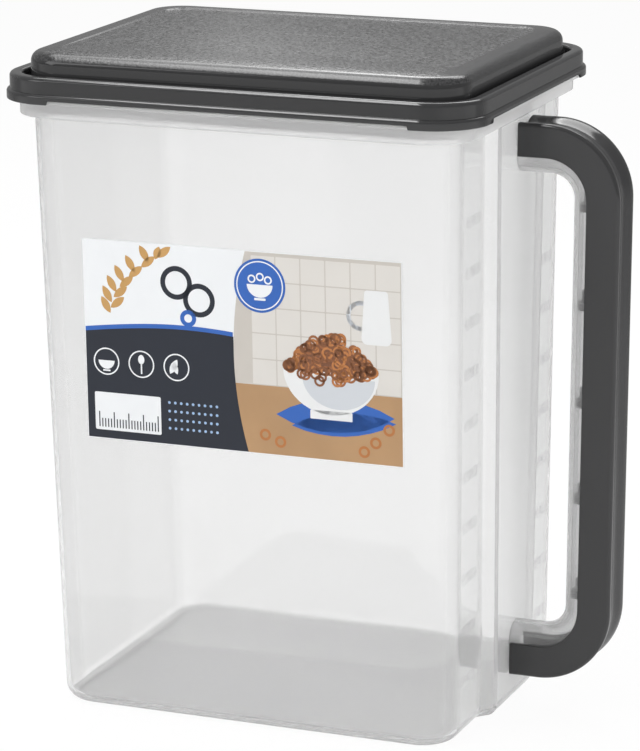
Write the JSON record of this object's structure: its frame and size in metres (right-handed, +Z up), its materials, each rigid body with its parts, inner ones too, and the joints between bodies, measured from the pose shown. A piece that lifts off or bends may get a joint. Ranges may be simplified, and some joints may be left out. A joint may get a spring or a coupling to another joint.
{
  "type": "handled dry food keeper",
  "caption": "Tall clear tapered food keeper with a closed C handle, dark grip shell, lift-out pour spout and press-on lid.",
  "frame": {"origin": "middle of the flat foot, under the middle of the rim", "axes": "+X along the keeper towards the handle, -Y the label side, +Z up"},
  "size_m": [0.2978, 0.1974, 0.3363],
  "materials": {
    "clear_tub": "translucent polypropylene, glossy outside",
    "clear_core": "translucent polypropylene, glossy",
    "dark_grip": "fine satin",
    "clear_spout": "translucent polypropylene, glossy",
    "dark_lid": "fine leather-like grain on the top, satin sides",
    "label_film": null
  },
  "bodies": {
    "keeper": {"tub": "clear_tub", "handle_core": "clear_core", "grip": "dark_grip", "label": "label_film"},
    "spout": {"spout_insert": "clear_spout"},
    "lid": {"lid": "dark_lid"}
  },
  "joints": [
    {"name": "spout_lift", "type": "slide", "parent": "keeper", "child": "spout", "axis": [0, 0, 1], "range_m": [0, 0.06]},
    {"name": "lid_lift", "type": "slide", "parent": "spout", "child": "lid", "axis": [0, 0, 1], "range_m": [0, 0.08]}
  ]
}
